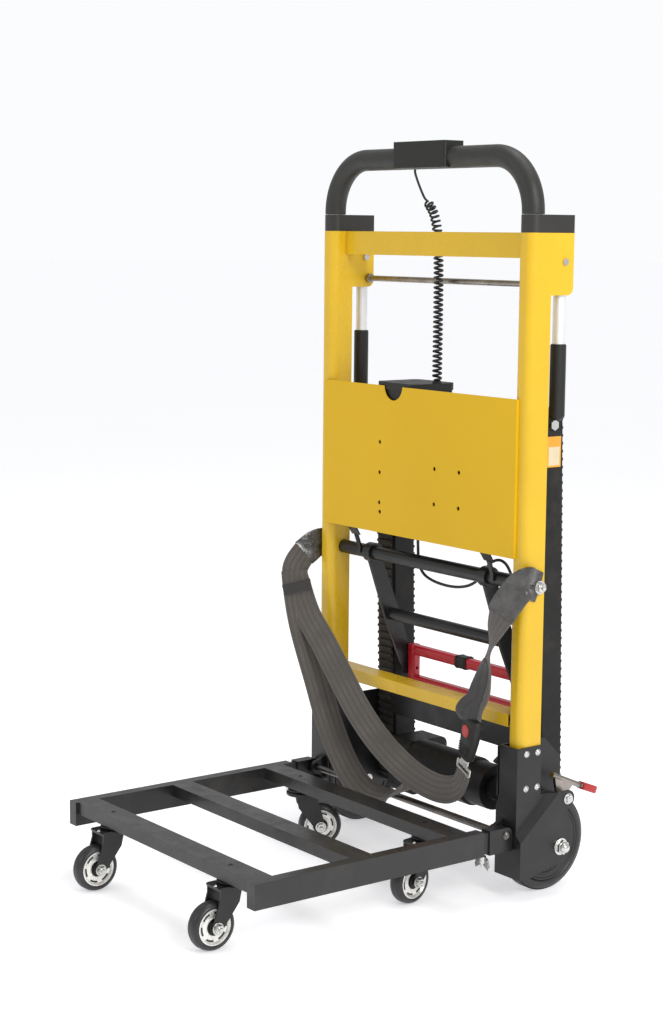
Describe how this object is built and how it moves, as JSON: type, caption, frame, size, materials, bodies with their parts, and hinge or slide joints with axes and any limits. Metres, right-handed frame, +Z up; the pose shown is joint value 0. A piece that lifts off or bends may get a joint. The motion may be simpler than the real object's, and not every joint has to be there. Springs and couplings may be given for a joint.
{
  "type": "stair climbing trolley",
  "caption": "Powered stair climbing hand trolley: folding load platform on casters, mast with telescopic handle, two toothed crawler tracks, main wheels and a load belt.",
  "frame": {"origin": "on the floor, below the middle of the width and of the depth from the front casters to the tip of the lock lever", "axes": "+X to the right of someone facing the load side of the mast, +Y towards the stair side, away from the load platform, +Z up"},
  "size_m": [0.61, 0.7314, 1.214],
  "materials": {
    "yellow_paint": "glossy powder coat",
    "panel_paint": "satin powder coat",
    "black_paint": "satin powder coat",
    "red_paint": "gloss paint",
    "dark_plastic": "fine texture",
    "red_plastic": "moulded",
    "foam": "foam sleeve",
    "grip_rubber": "moulded grip",
    "belt_rubber": "moulded teeth",
    "tyre_black": "rubber",
    "steel_tube": "polished tube",
    "zinc": "zinc plated",
    "aluminium": "satin",
    "cast_grey": "painted casting",
    "webbing": "woven webbing",
    "cord_black": "PVC sheath"
  },
  "bodies": {
    "chassis": {"uprights": "yellow_paint", "top_crossbar": "yellow_paint", "lower_crossbar": "yellow_paint", "base_crossbar": "black_paint", "panel": "panel_paint", "control_box": "dark_plastic", "battery_pack": "dark_plastic", "top_brackets": "yellow_paint", "mast_caps": "dark_plastic", "cross_rod": "zinc", "upper_tube": "black_paint", "panel_stays": "black_paint", "base_boxes": "black_paint", "inner_plates": "black_paint", "track_frames": "black_paint", "crawler_belts": "belt_rubber", "gearbox": "cast_grey", "drive_motor": "black_paint", "wheel_axles": "zinc", "frame_fasteners": "zinc", "hinge_shaft": "zinc", "belt_left": "webbing", "belt_right": "webbing", "buckle": "dark_plastic", "latch_tongue": "zinc", "coil_cord": "cord_black", "loop_cable": "cord_black"},
    "handle": {"handle_tube": "steel_tube", "handle_sleeve": "foam", "switch_box": "dark_plastic", "cord_lead": "cord_black"},
    "rocker": {"drive_rocker": "dark_plastic"},
    "stop": {"stop_button": "red_plastic"},
    "aux_handle_left": {"aux_tube_left": "aluminium", "aux_grip_left": "grip_rubber"},
    "aux_handle_right": {"aux_tube_right": "aluminium", "aux_grip_right": "grip_rubber"},
    "hinge_arms": {"hinge_blocks": "black_paint"},
    "clamp_left": {"wing_screw_left": "zinc"},
    "clamp_right": {"wing_screw_right": "zinc"},
    "platform": {"platform_frame": "black_paint", "caster_heads": "black_paint"},
    "caster_1": {"caster_fork_1": "black_paint"},
    "roller_1": {"caster_wheel_1": "tyre_black"},
    "caster_2": {"caster_fork_2": "black_paint"},
    "roller_2": {"caster_wheel_2": "tyre_black"},
    "caster_3": {"caster_fork_3": "black_paint"},
    "roller_3": {"caster_wheel_3": "tyre_black"},
    "caster_4": {"caster_fork_4": "black_paint"},
    "roller_4": {"caster_wheel_4": "tyre_black"},
    "wheel_left": {"main_wheel_left": "tyre_black"},
    "wheel_right": {"main_wheel_right": "tyre_black"},
    "drive": {"drive_shaft": "zinc"},
    "idler": {"idlers": "zinc"},
    "support_frame": {"support_arms": "black_paint", "pedal_frame": "red_paint"},
    "lever": {"lock_lever": "zinc"},
    "release": {"buckle_button": "red_plastic"}
  },
  "joints": [
    {"name": "handle_slide", "type": "slide", "parent": "chassis", "child": "handle", "axis": [0, 0, 1], "range_m": [0, 0.24], "deforming": ["coil_cord"]},
    {"name": "drive_rocker_tilt", "type": "hinge", "parent": "handle", "child": "rocker", "pos_m": [0, 0.22825, 1.205], "axis": [1, 0, 0], "range_deg": [-8, 8], "stiffness_Nm_per_rad": 0.05},
    {"name": "stop_button_press", "type": "slide", "parent": "handle", "child": "stop", "axis": [0, -1, 0], "range_m": [0, 0.0025], "stiffness_N_per_m": 400},
    {"name": "aux_handle_left_fold", "type": "hinge", "parent": "chassis", "child": "aux_handle_left", "pos_m": [-0.254, 0.27275, 0.985], "axis": [1, 0, 0], "range_deg": [0, 90]},
    {"name": "aux_handle_right_fold", "type": "hinge", "parent": "chassis", "child": "aux_handle_right", "pos_m": [0.254, 0.27275, 0.985], "axis": [1, 0, 0], "range_deg": [0, 90]},
    {"name": "platform_fold", "type": "hinge", "parent": "chassis", "child": "hinge_arms", "pos_m": [0, 0.17175, 0.112], "axis": [-1, 0, 0], "range_deg": [0, 88], "deforming": ["belt_left", "belt_right", "buckle", "latch_tongue", "buckle_button"]},
    {"name": "platform_slide", "type": "slide", "parent": "hinge_arms", "child": "platform", "axis": [0, -1, 0], "range_m": [0, 0.08]},
    {"name": "wing_screw_left_turn", "type": "hinge", "parent": "hinge_arms", "child": "clamp_left", "pos_m": [-0.259, 0.13025, 0.085], "axis": [0, 0, 1], "continuous": true},
    {"name": "wing_screw_right_turn", "type": "hinge", "parent": "hinge_arms", "child": "clamp_right", "pos_m": [0.259, 0.13025, 0.085], "axis": [0, 0, 1], "continuous": true},
    {"name": "caster_1_swivel", "type": "hinge", "parent": "platform", "child": "caster_1", "pos_m": [-0.17, -0.29325, 0.095], "axis": [0, 0, 1], "continuous": true},
    {"name": "caster_1_roll", "type": "hinge", "parent": "caster_1", "child": "roller_1", "pos_m": [-0.17, -0.32825, 0.0375], "axis": [1, 0, 0], "continuous": true},
    {"name": "caster_2_swivel", "type": "hinge", "parent": "platform", "child": "caster_2", "pos_m": [0.17, -0.29325, 0.095], "axis": [0, 0, 1], "continuous": true},
    {"name": "caster_2_roll", "type": "hinge", "parent": "caster_2", "child": "roller_2", "pos_m": [0.17, -0.32825, 0.0375], "axis": [1, 0, 0], "continuous": true},
    {"name": "caster_3_swivel", "type": "hinge", "parent": "platform", "child": "caster_3", "pos_m": [-0.17, 0.08375, 0.095], "axis": [0, 0, 1], "continuous": true},
    {"name": "caster_3_roll", "type": "hinge", "parent": "caster_3", "child": "roller_3", "pos_m": [-0.1525, 0.11406, 0.0375], "axis": [-0.866, 0.5, 0], "continuous": true},
    {"name": "caster_4_swivel", "type": "hinge", "parent": "platform", "child": "caster_4", "pos_m": [0.17, 0.08375, 0.095], "axis": [0, 0, 1], "continuous": true},
    {"name": "caster_4_roll", "type": "hinge", "parent": "caster_4", "child": "roller_4", "pos_m": [0.17547, 0.04918, 0.0375], "axis": [0.9877, 0.1564, 0], "continuous": true},
    {"name": "main_wheel_left_roll", "type": "hinge", "parent": "chassis", "child": "wheel_left", "pos_m": [-0.244, 0.27275, 0.081], "axis": [1, 0, 0], "continuous": true},
    {"name": "main_wheel_right_roll", "type": "hinge", "parent": "chassis", "child": "wheel_right", "pos_m": [0.244, 0.27275, 0.081], "axis": [1, 0, 0], "continuous": true},
    {"name": "drive_spin", "type": "hinge", "parent": "chassis", "child": "drive", "pos_m": [0, 0.31775, 0.1], "axis": [1, 0, 0], "continuous": true},
    {"name": "idler_spin", "type": "hinge", "parent": "chassis", "child": "idler", "pos_m": [0, 0.30162, 0.7598], "axis": [1, 0, 0], "continuous": true},
    {"name": "support_swing", "type": "hinge", "parent": "chassis", "child": "support_frame", "pos_m": [0, 0.22475, 0.51], "axis": [1, 0, 0], "range_deg": [0, 50]},
    {"name": "lock_lever_press", "type": "hinge", "parent": "chassis", "child": "lever", "pos_m": [0.269, 0.28775, 0.158], "axis": [-1, 0, 0], "range_deg": [0, 25]},
    {"name": "buckle_release", "type": "slide", "parent": "chassis", "child": "release", "axis": [0.2511, 0.9659, -0.0626], "range_m": [0, 0.003], "stiffness_N_per_m": 500}
  ],
  "couplings": [
    {"joint": "idler_spin", "follows": "drive_spin", "ratio": 1}
  ]
}
